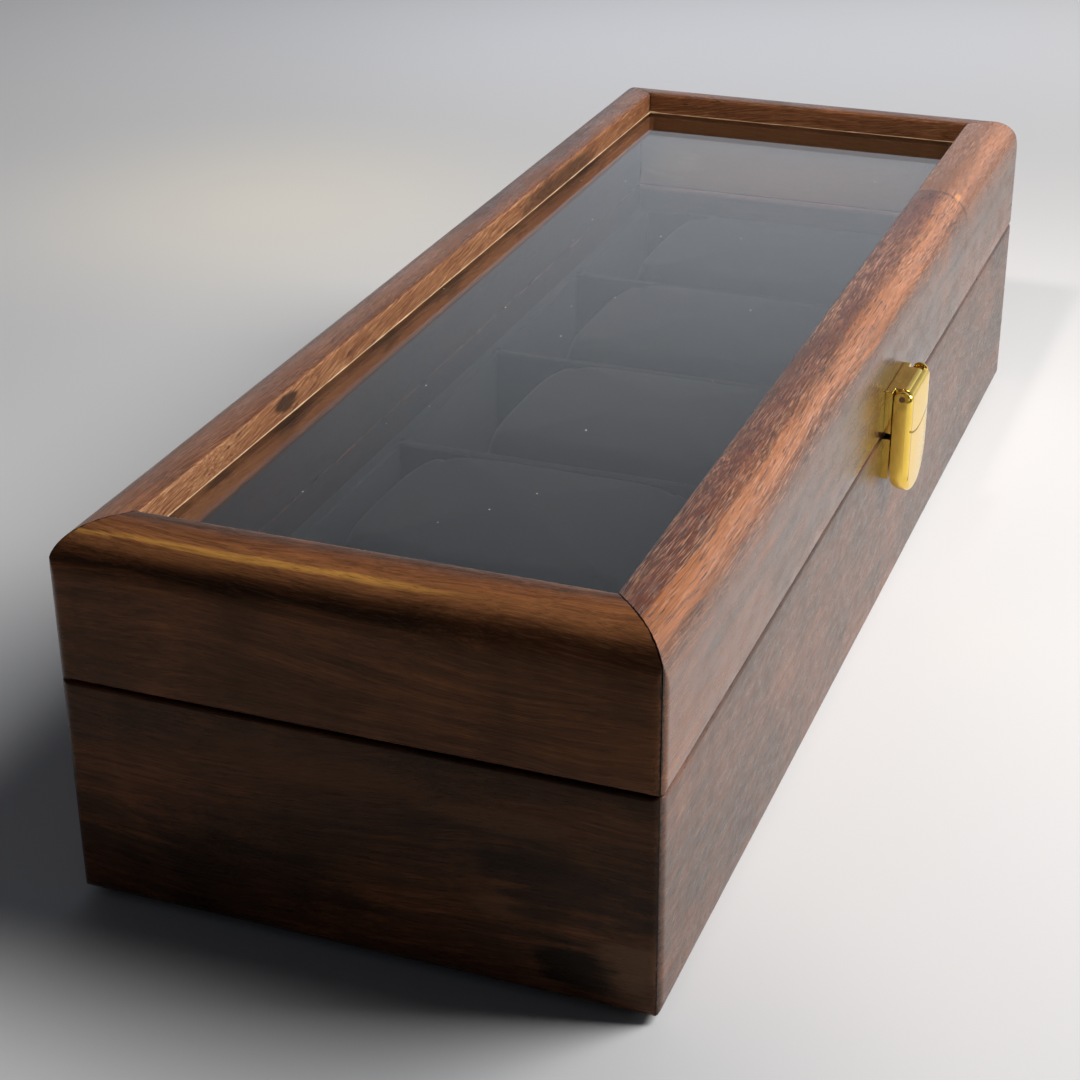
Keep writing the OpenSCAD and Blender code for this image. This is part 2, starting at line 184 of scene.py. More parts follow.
def stations(half):
    """Distances from the end of a board to its middle, close together at the end."""
    near = [0, 0.15, 0.35, 0.6, 0.9, 1.3, 1.8, 2.4, 3.4, 4.8]
    rest = np.linspace(6.4 * MM, half, max(6, round((half - 6.4 * MM) / STEP)))
    return [d * MM for d in near] + [float(d) for d in rest]


def waviness(x, y, z, seed):
    """Slight unevenness that sanding by hand leaves, in metres."""
    slow = noise.noise(Vector((x * 16, y * 16, z * 16)) + Vector((seed * 7.3, 0, 0)))
    fine = noise.noise(Vector((x * 70, y * 70, z * 70)) + Vector((0, seed * 3.1, 0)))
    return 0.07 * MM * slow + 0.018 * MM * fine


def board(name, section, side, seed, joint_gap=(0.0, 0.0)):
    """A mitred board swept along one side of the box. joint_gap opens the mitre at its two ends.

    Two attributes help the paint: "joint" is 1 on the mitres, and "rim" is 1 on the edges at the split.
    """
    half, place = SIDES[side]
    blunt = CORNER * (1 - math.sqrt(0.5))
    steps = stations(half)
    spots = [(-1, d) for d in steps] + [(1, d) for d in reversed(steps[:-1])]
    shape = bmesh.new()
    joint = shape.verts.layers.float.new("joint")
    rim = shape.verts.layers.float.new("rim")
    rows = []
    for end, d in spots:
        gap = joint_gap[0 if end < 0 else 1]
        row = []
        for u, z in section:
            at_end = max(u, blunt)
            far = at_end + d * (half - at_end) / half
            depth = max(u, corner_inset(far))
            skin = max(0.0, 1 - u / SHOULDER)
            x, y = place(end * (half - far), depth)
            depth += skin * waviness(x, y, z, seed)
            fray = gap * max(0.0, 1 - d / (1.2 * MM))
            fray *= 0.55 + 0.9 * abs(noise.noise(Vector((x, y, z)) * 900))
            x, y = place(end * (half - far - fray), depth)
            v = shape.verts.new((x, y, z))
            v[joint] = max(0.0, 1 - d / (0.95 * MM))
            v[rim] = max(0.0, 1 - min(abs(z - BASE_TOP), abs(z - LID_LOW)) / (0.9 * MM))
            row.append(v)
        rows.append(row)
    count = len(section)
    for a, b in zip(rows, rows[1:]):
        for i in range(count):
            j = (i + 1) % count
            shape.faces.new((a[i], a[j], b[j], b[i]))
    shape.faces.new(rows[0])
    shape.faces.new(list(reversed(rows[-1])))
    return object_from_bmesh(name, shape, 38)


# ---------------------------------------------------------------------------
# Material helpers
class Tree:
    """A material's nodes, with short calls for the ones used here."""

    def __init__(self, name):
        self.material = bpy.data.materials.new(name)
        self.material.use_nodes = True
        self.nodes = self.material.node_tree.nodes
        self.links = self.material.node_tree.links
        self.shader = self.nodes["Principled BSDF"]

    def node(self, kind, settings=None, inputs=None, output=0):
        made = self.nodes.new(kind)
        for key, value in (settings or {}).items():
            setattr(made, key, value)
        for key, value in (inputs or {}).items():
            self.feed(made.inputs[key], value)
        return made.outputs[output]

    def feed(self, socket, value):
        if isinstance(value, bpy.types.NodeSocket):
            self.links.new(value, socket)
        else:
            socket.default_value = value

    def set(self, **inputs):
        for key, value in inputs.items():
            self.feed(self.shader.inputs[key.replace("_", " ")], value)

    def coords(self, scale=(1, 1, 1), shift=(0, 0, 0)):
        """Object coordinates in millimetres, moved by shift, then scaled."""
        here = self.node("ShaderNodeTexCoord", output=3)
        moved = self.node(
            "ShaderNodeVectorMath",
            {"operation": "MULTIPLY_ADD"},
            {0: here, 1: (1000, 1000, 1000), 2: shift},
        )
        return self.node("ShaderNodeVectorMath", {"operation": "MULTIPLY"}, {0: moved, 1: scale})

    def scaled(self, vector, scale):
        return self.node("ShaderNodeVectorMath", {"operation": "MULTIPLY"}, {0: vector, 1: scale})

    def noise(self, vector, scale=1.0, detail=2.0, roughness=0.5, output=0):
        return self.node(
            "ShaderNodeTexNoise",
            {},
            {"Vector": vector, "Scale": scale, "Detail": detail, "Roughness": roughness},
            output,
        )

    def math(self, operation, a, b=0.0, c=0.0):
        return self.node("ShaderNodeMath", {"operation": operation}, {0: a, 1: b, 2: c})

    def span(self, value, low, high, to_low=0.0, to_high=1.0):
        """Maps low..high to to_low..to_high with a smooth step, clamped."""
        return self.node(
            "ShaderNodeMapRange",
            {"interpolation_type": "SMOOTHSTEP", "clamp": True},
            {0: value, 1: low, 2: high, 3: to_low, 4: to_high},
        )

    def ramp(self, value, stops):
        made = self.nodes.new("ShaderNodeValToRGB")
        band = made.color_ramp
        while len(band.elements) < len(stops):
            band.elements.new(0.5)
        for element, (place, colour) in zip(band.elements, stops):
            element.position = place
            element.color = (*colour, 1)
        self.links.new(value, made.inputs[0])
        return made.outputs[0]

    def mix(self, factor, a, b, blend="MIX"):
        made = self.nodes.new("ShaderNodeMix")
        made.data_type = "RGBA"
        made.blend_type = blend
        self.feed(made.inputs[0], factor)
        self.feed(made.inputs[6], a)
        self.feed(made.inputs[7], b)
        return made.outputs[2]

    def bump(self, height, strength, distance, normal=None):
        inputs = {"Strength": strength, "Distance": distance, "Height": height}
        if normal is not None:
            inputs["Normal"] = normal
        return self.node("ShaderNodeBump", {}, inputs)


# ---------------------------------------------------------------------------
# Materials
DARK = (0.022, 0.009, 0.005)
BROWN = (0.075, 0.029, 0.013)
RED = (0.18, 0.063, 0.025)
ORANGE = (0.42, 0.165, 0.06)
PORE = (0.016, 0.0065, 0.004, 1)
# Painted glints: light dashes on the lid's top where the grain catches the light.
GLINT_PAINT = (0.55, 0.27, 0.16, 1)
STAINED = (0.01, 0.006, 0.005, 1)
MITRE = (0.014, 0.006, 0.004, 1)
RUBBED = (0.16, 0.062, 0.034, 1)
# Painted light: a pale line that stands for the lit inner rim at the split.
LIT_RIM_PAINT = (0.6, 0.33, 0.24, 1)


class Wood(Tree):
    """Lacquered dark hardwood with its grain along the board. Places are in millimetres.

    depth_in is how far in from the board's outer face a point lies, up its height and along its
    place along the board. bend is a set of coordinates that follows the wandering grain.
    """

    def __init__(self, name, side, seed, wander):
        super().__init__(name)
        self.long = 0 if side in ("front", "back") else 1
        sign = -1 if side in ("front", "left") else 1
        outer = (HY if self.long == 0 else HX) * 1000
        self.here = self.coords()
        self.place = self.coords(shift=(seed * 137.0, seed * 61.0, seed * 29.0))
        self.depth_in = self.add(self.part(self.here, 1 - self.long), -sign, outer)
        self.up = self.part(self.here, 2)
        self.along = self.part(self.here, self.long)
        self.crown = self.span(self.up, TOP * 1000 - 11, TOP * 1000 - 3)
        self.outside = self.math("LESS_THAN", self.depth_in, WALL * 500)
        self.bend = self.wandering(wander)
        self.fibre = self.field(self.bend, 0.06, 2.3, detail=3, roughness=0.65)
        self.wide_off = self.centred(self.field(self.bend, 0.006, 0.07, detail=3, roughness=0.55))
        self.narrow_off = self.centred(self.field(self.bend, 0.018, 0.5, detail=4, roughness=0.62))
        self.cross_off = self.centred(self.field(self.place, 0.055, 0.03, detail=3, roughness=0.6))

    def stretch(self, along, across):
        """Scales for noise that is drawn out along the board."""
        scale = [across, across, across]
        scale[self.long] = along
        return tuple(scale)

    def part(self, vector, axis):
        return self.node("ShaderNodeSeparateXYZ", {}, {0: vector}, axis)

    def add(self, value, amount, base):
        return self.math("MULTIPLY_ADD", value, amount, base)

    def times(self, a, b):
        return self.math("MULTIPLY", a, b)

    def field(self, vector, along, across, **how):
        """Noise drawn out along the board."""
        return self.noise(self.scaled(vector, self.stretch(along, across)), **how)

    def centred(self, value):
        return self.math("SUBTRACT", value, 0.5)

    def wandering(self, wander):
        """The grain strays from straight: a slow bend and a small wiggle."""
        slow = self.field(self.place, 0.007, 0.018, detail=2, output=1)
        quick = self.field(self.place, 0.05, 0.09, detail=2, output=1)
        bend = self.place
        for wave, reach in ((slow, 22), (quick, 1.6)):
            bend = self.node("ShaderNodeVectorMath", {"operation": "MULTIPLY_ADD"},
                             {0: wave, 1: self.stretch(0, reach * wander), 2: bend})
        return bend

    def grain(self, depth, bands):
        """The bands and fibres of plain wood, from nearly black to orange."""
        value = self.add(self.wide_off, bands * 2.2, depth)
        value = self.add(self.narrow_off, 0.5, value)
        value = self.add(self.centred(self.fibre), 0.42, value)
        value = self.add(self.cross_off, 0.4, value)
        return self.ramp(value, [(0.2, DARK), (0.42, BROWN), (0.62, RED), (0.9, ORANGE)])

    def streak(self, tone, point, half_width, start, end, colour, strength):
        """Another tone along the board at a point of its section, from start to end: other wood, and on
        the near end painted highlights.
        """
        du = self.math("SUBTRACT", self.depth_in, point[0] * 1000)
        dz = self.math("SUBTRACT", self.up, point[1] * 1000)
        gap = self.math("SQRT", self.add(du, du, self.times(dz, dz)))
        gap = self.add(self.narrow_off, half_width * 2600, gap)
        gap = self.add(self.wide_off, half_width * 2200, gap)
        ends = self.times(self.span(self.along, start * 1000 - 14, start * 1000 + 14),
                          self.span(self.along, end * 1000 + 14, end * 1000 - 14))
        mask = self.times(self.span(gap, half_width * 1000, half_width * 100), ends)
        mask = self.times(self.times(mask, self.add(self.fibre, 1.6, 0.1)), strength)
        return self.mix(self.math("MINIMUM", mask, 1.0), tone, (*colour, 1))

    def patch(self, tone, centre, radius, ratio, colour, strength):
        """A ragged spot, ratio times as long as it is wide."""
        offset = self.node("ShaderNodeVectorMath", {"operation": "SUBTRACT"},
                           {0: self.here, 1: tuple(c * 1000 for c in centre)})
        flat = self.scaled(offset, self.stretch(1 / ratio, 1.0))
        reach = self.node("ShaderNodeVectorMath", {"operation": "LENGTH"}, {0: flat}, 1)
        reach = self.add(self.narrow_off, radius * 1600, reach)
        reach = self.add(self.cross_off, radius * 1800, reach)
        spot = self.span(reach, radius * 1150, radius * 600)
        return self.mix(self.times(spot, strength), tone, (*colour, 1))

    def scarf(self, tone, spot, slant, colour, strength):
        """Past a slanted glued joint the board goes on in other wood, clearest on the lid's top."""
        slanted = self.add(self.narrow_off, 3.0, self.add(self.depth_in, slant, self.along))
        past = self.span(slanted, spot * 1000 - 1.2, spot * 1000 + 1.2)
        line = self.times(self.times(past, self.math("SUBTRACT", 1.0, past)), 3.0)
        plain = self.mix(self.times(self.fibre, 0.9), (*colour, 1), tone)
        on_face = self.times(past, self.add(self.crown, 0.75, 0.25))
        tone = self.mix(self.times(on_face, strength), tone, plain)
        return self.mix(self.times(line, 0.7), tone, PORE)

    def pores_and_glints(self, tone, pores, dashes):
        """Short dark pores, and light dashes painted on the top as glints. Gives the tone and the pores
        alone.
        """
        dark = self.span(self.field(self.bend, 0.16, 4.6, detail=1.5, roughness=0.6), 0.58, 0.67)
        long = self.span(self.field(self.bend, 0.03, 2.2, detail=2, roughness=0.6), 0.58, 0.7)
        light = self.span(self.field(self.bend, 0.17, 5.8, detail=1.5), 0.54, 0.62)
        where = self.span(self.field(self.place, 0.02, 0.08, detail=2), 0.3, 0.55)
        on_top, on_face = pores
        amount = self.add(self.crown, on_top - on_face, on_face)
        dark = self.times(dark, amount)
        tone = self.mix(dark, tone, PORE)
        tone = self.mix(self.times(long, self.times(amount, 0.8)), tone, PORE)
        # The light dashes are painted glints, on the top only.
        light = self.times(self.times(light, where), self.times(self.crown, dashes))
        return self.mix(light, tone, GLINT_PAINT), dark

    def bare_wood(self, tone, amount):
        """Mixes in sawn wood whose fibres run at a slight slant. Gives the tone and the saw marks."""
        turn = (0.0, 0.13, 0.0) if self.long == 0 else (0.13, 0.0, 0.0)
        slanted = self.node("ShaderNodeMapping", {}, {"Vector": self.bend, "Rotation": turn})
        saw = self.field(slanted, 0.1, 3.0, detail=4, roughness=0.75)
        pits = self.span(self.field(slanted, 0.16, 0.6, detail=2), 0.66, 0.74)
        bare = self.ramp(self.add(self.wide_off, 0.5, saw),
                         [(0.32, (0.05, 0.016, 0.007)), (0.44, (0.17, 0.06, 0.024)),
                          (0.56, (0.33, 0.14, 0.06)), (0.72, (0.62, 0.37, 0.2))])
        bare = self.mix(self.times(pits, 0.85), bare, PORE)
        return self.mix(amount, tone, bare), saw

    def edges(self, tone, lit_rim):
        """Mitres show as a dark ragged line, the edges at the split are rubbed, and the inner edge is
        painted pale as its lit line.
        """
        joint = self.node("ShaderNodeAttribute", {"attribute_name": "joint"}, output=2)
        ragged = self.add(self.centred(self.noise(self.place, scale=0.9, detail=3)), 1.1, joint)
        tone = self.mix(self.span(ragged, 0.72, 0.95), tone, MITRE)
        rim = self.node("ShaderNodeAttribute", {"attribute_name": "rim"}, output=2)
        worn = self.span(self.noise(self.place, scale=0.12, detail=4), 0.45, 0.7)
        rubbed = self.times(self.times(self.span(rim, 0.2, 0.9), worn), self.outside)
        tone = self.mix(self.times(rubbed, 0.15), tone, RUBBED)
        # Painted light: the inner edge at the split is painted pale, as the rim's lit line.
        if lit_rim:
            inner_edge = self.times(self.span(rim, 0.35, 0.8),
                                    self.span(self.depth_in, WALL * 1000 - 1.4, WALL * 1000 - 0.5))
            tone = self.mix(self.times(inner_edge, lit_rim), tone, LIT_RIM_PAINT)
        return tone


def wood(name, side, seed, depth=0.5, bands=0.3, dashes=0.3, pores=(0.6, 0.35), mottle=0.4,
         quilting=1.0, wander=1.0, rough=0.27, inside=0.86, inside_tone=STAINED, sawn_mix=0.35,
         lit_rim=0.0, ior=1.48, tint=(0.55, 0.36, 0.24), patches=(), streaks=(), scarf=None):
    """The look of one board.

    depth shifts it darker or lighter, and bands is how much the growth bands differ. dashes is
    the amount of painted glints, light dashes on the lid's top, and pores that of dark pores on the
    top and on the faces. mottle is how uneven the lacquer lies, quilting how close together its
    waves are, and wander how far the grain strays from straight. rough and ior are the lacquer's,
    and tint colours what it reflects.
    inside is how much of inside_tone the inner face shows, sawn_mix how bare the lip over the
    glass is, and lit_rim how much painted light lies on the inner edge at the split, as its lit line.
    patches, streaks and scarf are what the methods of those names take after the tone.
    """
    t = Wood(name, side, seed, wander)
    tone = t.grain(depth, bands)
    for streak in streaks:
        tone = t.streak(tone, *streak)
    tone, dark_lines = t.pores_and_glints(tone, pores, dashes)
    if scarf:
        tone = t.scarf(tone, *scarf)

    # Inside the box the wood is stained; the lip over the glass is sawn and partly bare.
    inner = t.times(t.math("GREATER_THAN", t.depth_in, WALL * 1000 - 0.12),
                    t.math("LESS_THAN", t.up, GLASS_LOW * 1000 - 0.1))
    tone = t.mix(t.times(inner, inside), tone, inside_tone)
    sawn = t.times(t.math("GREATER_THAN", t.depth_in, RAIL * 1000 - 0.25),
                   t.math("GREATER_THAN", t.up, GLASS_TOP * 1000 - 0.1))
    tone, saw = t.bare_wood(tone, t.times(sawn, sawn_mix))
    for patch in patches:
        tone = t.patch(tone, *patch)
    tone = t.edges(tone, lit_rim)

    quilt = t.field(t.place, 0.1 * quilting, 0.24 * quilting, detail=3, roughness=0.6)
    relief = t.add(t.fibre, 0.5, t.times(dark_lines, -0.9))
    relief = t.add(t.times(saw, sawn), 3.0, relief)
    normal = t.bump(quilt, 0.5 * mottle, 0.9 * MM)
    normal = t.bump(relief, 0.5, 0.09 * MM, normal)
    gloss = t.span(t.add(quilt, 0.6, t.times(t.fibre, 0.4)), 0.3, 0.75, rough - 0.06, rough + 0.12)
    dull = t.math("MAXIMUM", t.times(inner, 0.7), t.times(sawn, 0.62))
    t.set(
        Base_Color=tone,
        Roughness=t.math("MAXIMUM", gloss, dull),
        Normal=normal,
        IOR=ior,
        Specular_Tint=(*tint, 1),
    )
    return t.material


def velvet(name, sheen, tone):
    """Black velvet: fine pile with soft lighter patches where it has been brushed."""
    t = Tree(name)
    patch = t.noise(t.coords((0.05, 0.05, 0.05)), detail=3, roughness=0.6)
    pile = t.noise(t.coords((2.2, 2.2, 2.2)), detail=2)
    shade_of = t.math("MULTIPLY_ADD", patch, 0.7, t.math("MULTIPLY", pile, 0.5))
    low = (tone * 0.5, tone * 0.5, tone * 0.53)
    high = (tone * 1.7, tone * 1.7, tone * 1.8)
    t.set(
        Base_Color=t.ramp(shade_of, [(0.3, low), (0.85, high)]),
        Roughness=t.span(pile, 0.3, 0.7, 0.82, 0.98),
        Normal=t.bump(pile, 0.05, 0.25 * MM),
        Sheen_Weight=sheen,
        Sheen_Roughness=0.4,
    )
    return t.material


def felt(name):
    t = Tree(name)
    fuzz = t.noise(t.coords((0.9, 0.9, 0.9)), detail=6, roughness=0.75)
    t.set(
        Base_Color=t.ramp(fuzz, [(0.3, (0.008, 0.008, 0.009)), (0.75, (0.03, 0.03, 0.032))]),
        Roughness=t.span(fuzz, 0.3, 0.7, 0.85, 1.0),
        Normal=t.bump(fuzz, 0.5, 0.4 * MM),
        Sheen_Weight=0.2,
    )
    return t.material


def plywood(name):
    t = Tree(name)
    grain = t.noise(t.coords((0.02, 0.5, 0.5)), detail=4, roughness=0.6)
    t.set(
        Base_Color=t.ramp(grain, [(0.3, (0.2, 0.12, 0.06)), (0.7, (0.42, 0.28, 0.16))]),
        Roughness=t.span(grain, 0.3, 0.7, 0.55, 0.75),
        Normal=t.bump(grain, 0.2, 0.1 * MM),
    )
    return t.material


def brass(name, rough=0.16, tone=(0.97, 0.67, 0.13), engraved=False):
    """Polished gilt metal with fine rubbing marks and slightly duller patches.

    engraved adds the latch leaf's two fine lines: a shallow curve across it and one down its side.
    """
    t = Tree(name)
    patch = t.noise(t.coords((0.3, 0.3, 0.3)), detail=3)
    rub = t.noise(t.coords((0.6, 9.0, 3.0)), detail=2)
    worn = t.math("MULTIPLY_ADD", patch, 0.6, t.math("MULTIPLY", rub, 0.4))
    dull = tuple(c * 0.86 for c in tone)
    colour = t.ramp(worn, [(0.35, dull), (0.65, tone)])
    roughness = t.span(worn, 0.3, 0.7, rough - 0.05, rough + 0.1)
    if engraved:
        leaf_low, leaf_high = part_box("latch_leaf")
        middle = (leaf_low[0] + leaf_high[0]) / 2
        here = t.coords()
        x, y, z = (t.node("ShaderNodeSeparateXYZ", {}, {0: here}, i) for i in range(3))
        centre = (middle * 1000, leaf_low[1] * 1000, BASE_TOP * 1000 + 20.7)
        reach = t.node("ShaderNodeVectorMath", {"operation": "DISTANCE"}, {0: here, 1: centre}, 1)
        curve = t.span(t.math("ABSOLUTE", t.math("SUBTRACT", reach, 20.75)), 0.32, 0.2)
        curve = t.math("MULTIPLY", curve, t.math("LESS_THAN", z, BASE_TOP * 1000 + 4))
        line = t.span(t.math("ABSOLUTE", t.math("SUBTRACT", x, leaf_low[0] * 1000 + 1.5)), 0.22, 0.1)
        line = t.math("MULTIPLY", line, t.math("GREATER_THAN", z, leaf_low[2] * 1000 + 5))
        marks = t.math("MULTIPLY", t.math("MAXIMUM", curve, line),
                       t.math("LESS_THAN", y, leaf_low[1] * 1000 + 0.3))
        colour = t.mix(t.math("MULTIPLY", marks, 0.75), colour, (0.16, 0.07, 0.01, 1))
        roughness = t.math("MULTIPLY_ADD", marks, 0.25, roughness)
    t.set(
        Base_Color=colour,
        Metallic=1.0,
        Roughness=roughness,
        Normal=t.bump(worn, 0.08, 0.05 * MM),
    )
    return t.material


def clear_glass(name):
    """Float glass with a few specks of dust and faint wiping marks."""
    t = Tree(name)
    specks = t.node("ShaderNodeTexVoronoi", {"feature": "F1"},
                    {"Vector": t.coords((0.16, 0.16, 0.16)), "Scale": 1.0})
    size = t.noise(t.coords((0.2, 0.2, 0.2)), detail=1)
    wipe = t.noise(t.coords((0.01, 0.06, 0.06)), detail=4)
    dust = t.math("MULTIPLY", t.span(specks, 0.045, 0.02), t.span(size, 0.5, 0.58))
    t.set(
        Base_Color=t.mix(dust, (0.96, 0.98, 0.98, 1), (0.9, 0.88, 0.84, 1)),
        Roughness=t.math("MAXIMUM", t.span(wipe, 0.3, 0.8, 0.0, 0.035), t.math("MULTIPLY", dust, 0.7)),
        IOR=1.5,
        Transmission_Weight=t.math("MULTIPLY_ADD", dust, -0.7, 1.0),
    )
    return t.material


def glue(name):
    t = Tree(name)
    cloud = t.noise(t.coords((0.15, 0.15, 0.15)), detail=4)
    t.set(
        Base_Color=t.ramp(cloud, [(0.3, (0.34, 0.2, 0.09)), (0.6, (0.64, 0.45, 0.26))]),
        Roughness=t.span(cloud, 0.3, 0.7, 0.25, 0.5),
        Normal=t.bump(cloud, 0.4, 0.3 * MM),
    )
    return t.material


def paper(name, colour):
    """Plain matt floor with painted light and shade: lighter and darker spots in its tone, placed to
    match how the light falls over it.
    """
    t = Tree(name)
    here = t.node("ShaderNodeTexCoord", output=3)
    tone = (*colour, 1)
    # Each spot multiplies the tone: painted light above 1, painted shade below.
    for centre, radius, other in (
        ((0.0, -0.13, 0.0), 0.26, (1.13, 1.13, 1.13, 1)),
        ((0.38, -0.05, 0.0), 0.3, (0.8, 0.8, 0.8, 1)),
        ((0.5, 0.33, 0.0), 0.26, (1.16, 1.18, 1.22, 1)),
        ((0.06, 0.22, 0.0), 0.14, (0.92, 0.92, 0.92, 1)),
        ((0.54, 0.1, 0.0), 0.28, (1.18, 1.21, 1.27, 1)),
        ((0.23, 0.22, 0.0), 0.14, (1.2, 1.15, 1.04, 1)),
        ((-0.19, -0.03, 0.0), 0.1, (0.72, 0.74, 0.76, 1)),
        ((-0.1, 0.11, 0.0), 0.09, (0.7, 0.72, 0.75, 1)),
    ):
        away = t.node("ShaderNodeVectorMath", {"operation": "DISTANCE"}, {0: here, 1: centre}, 1)
        near = t.span(away, radius, 0.0)
        tone = t.mix(near, tone, t.mix(1.0, tone, other, "MULTIPLY"))
    t.set(Base_Color=tone, Roughness=0.75)
    return t.material


# ---------------------------------------------------------------------------
# Putting pieces together
def dress(piece, material, body=None, replaces=()):
    piece.data.materials.clear()
    piece.data.materials.append(material)
    if body:
        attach(piece, body)
    if replaces:
        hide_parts(*replaces)


def repaint(node, material):
    """A CAD node keeps its shape and takes a better material."""
    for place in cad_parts[node].material_slots:
        place.material = material


def smoothing_group():
    """Geometry nodes that shade a mesh smooth, so that a CAD node's own mesh stays as it is."""
    group = bpy.data.node_groups.new("smooth_shading", "GeometryNodeTree")
    group.interface.new_socket("Geometry", in_out="INPUT", socket_type="NodeSocketGeometry")
    group.interface.new_socket("Geometry", in_out="OUTPUT", socket_type="NodeSocketGeometry")
    start = group.nodes.new("NodeGroupInput")
    smooth = group.nodes.new("GeometryNodeSetShadeSmooth")
    end = group.nodes.new("NodeGroupOutput")
    group.links.new(start.outputs[0], smooth.inputs[0])
    group.links.new(smooth.outputs[0], end.inputs[0])
    return group


SMOOTHING = smoothing_group()


def soften(node, width, segments=3, shrink=0.0):
    """Small rounded edges on a CAD node, by modifiers only. shrink leaves a hair of air round it."""
    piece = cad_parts[node]
    weld = piece.modifiers.new("weld", "WELD")
    weld.merge_threshold = 0.002 * MM
    if shrink:
        draw_in = piece.modifiers.new("shrink", "DISPLACE")
        draw_in.mid_level = 0
        draw_in.strength = -shrink
    bevel = piece.modifiers.new("bevel", "BEVEL")
    bevel.width = width
    bevel.segments = segments
    bevel.limit_method = "ANGLE"
    bevel.angle_limit = math.radians(SHARP)
    bevel.use_clamp_overlap = True
    smooth = piece.modifiers.new("smooth", "NODES")
    smooth.node_group = SMOOTHING
    weighted = piece.modifiers.new("weighted", "WEIGHTED_NORMAL")
    weighted.weight = 100


SIDE_NAMES = {"front": "front", "back": "back", "left": "end_left", "right": "end_right"}

# Other wood, stains and painted light, for streaks and patches.
# Painted highlights: the gold line and the amber glow on the near end's rounded edge.
GOLD_HIGHLIGHT_PAINT = (0.62, 0.3, 0.07)
AMBER_GLOW_PAINT = (0.5, 0.2, 0.075)
DARK_TONE = (0.012, 0.006, 0.004)
REDDISH = (0.13, 0.035, 0.018)
# Painted light on the far inner wall: a lighter tan patch.
FAR_WALL_LIGHT_PAINT = (0.62, 0.46, 0.28)

BOARD_LOOKS = {
    ("lid", "front"): dict(
        depth=0.5, bands=0.24, dashes=0.7, pores=(0.85, 0.1), mottle=0.06, wander=0.35, rough=0.24,
        ior=1.58, tint=(1.0, 0.92, 0.85),
        streaks=[
            (on_shoulder(84), 4.5 * MM, -HX, 86 * MM, REDDISH, 0.9),
            (on_shoulder(48), 4.3 * MM, -HX, HX, (0.44, 0.152, 0.046), 0.85),
        ],
        patches=[((89 * MM, -HY + 2.6 * MM, TOP - 1.4 * MM), 1.6 * MM, 2.2, (0.6, 0.25, 0.08), 0.9)],
        scarf=(88.4 * MM, 0.365, (0.3, 0.115, 0.045), 0.7),
    ),
    ("lid", "back"): dict(
        depth=0.56, bands=0.25, dashes=0.35, pores=(0.6, 0.1), mottle=0.3, sawn_mix=0.85,
        tint=(0.8, 0.55, 0.4),
        streaks=[(on_shoulder(75), 6 * MM, -HX, 20 * MM, (0.3, 0.12, 0.05), 0.7)],
        patches=[((-88 * MM, HY - RAIL, TOP - 2.6 * MM), 1.6 * MM, 4.0, DARK_TONE, 0.85),
                 ((70 * MM, HY - RAIL, TOP - 3.5 * MM), 2.6 * MM, 12.0, DARK_TONE, 0.6)],
    ),
    ("lid", "left"): dict(
        depth=0.42, bands=0.12, dashes=0.1, pores=(0.3, 0.35), mottle=0.2, rough=0.24, sawn_mix=0.8,
        tint=(0.4, 0.24, 0.13),
        streaks=[
            # The amber, orange and gold streaks are painted highlights where the rounded edge catches
            # the light.
            (on_shoulder(60), 5.0 * MM, -HY, HY, AMBER_GLOW_PAINT, 0.5),
            (on_shoulder(84), 3.0 * MM, -HY, HY, (0.3, 0.105, 0.035), 0.5),
            (on_shoulder(62), 0.9 * MM, -15 * MM, 58 * MM, GOLD_HIGHLIGHT_PAINT, 0.9),
            (on_shoulder(22), 2.4 * MM, -20 * MM, HY, DARK_TONE, 0.8),
        ],
    ),
    # The far end's pale inside tone and tan patch are pale wood lightened further by painted light, and
    # its inner edge carries the painted lit rim line.
    ("lid", "right"): dict(depth=0.5, bands=0.25, dashes=0.2, mottle=0.3, inside=0.85,
                           inside_tone=(0.62, 0.4, 0.27, 1), sawn_mix=0.5, lit_rim=0.9,
                           patches=[((HX - WALL, 40 * MM, 57 * MM), 7 * MM, 1.2, FAR_WALL_LIGHT_PAINT, 0.8)]),
    ("base", "front"): dict(depth=0.46, bands=0.22, pores=(0.5, 0.62), mottle=0.5, quilting=2.2,
                            rough=0.3, ior=1.6, tint=(1.0, 0.93, 0.87)),
    ("base", "back"): dict(depth=0.47, bands=0.3, dashes=0.2, mottle=0.6),
    ("base", "left"): dict(
        depth=0.37, bands=0.34, pores=(0.35, 0.45), mottle=0.3, tint=(0.4, 0.26, 0.17),
        patches=[
            ((-HX, -52 * MM, 12 * MM), 5.0 * MM, 1.3, (0.12, 0.06, 0.03), 0.8),
            ((-HX, -29 * MM, 19 * MM), 3.6 * MM, 1.8, (0.1, 0.045, 0.022), 0.7),
            ((-HX, -40 * MM, 25 * MM), 9.0 * MM, 1.8, (0.009, 0.005, 0.004), 0.75),
            ((-HX, -43 * MM, 9 * MM), 6.0 * MM, 1.25, (0.003, 0.0015, 0.001), 0.97),
            ((-HX, 10 * MM, 40 * MM), 4.0 * MM, 5.0, (0.09, 0.036, 0.016), 0.5),
            ((-HX, -32 * MM, 37 * MM), 2.6 * MM, 6.0, (0.09, 0.04, 0.02), 0.6),
            ((-HX, 20 * MM, 14 * MM), 6.0 * MM, 5.0, (0.012, 0.006, 0.004), 0.6),
        ],
    ),
    # Its inner edge at the split carries the painted lit rim line.
    ("base", "right"): dict(depth=0.48, bands=0.3, dashes=0.2, mottle=0.4, inside=0.6, lit_rim=0.9),
}


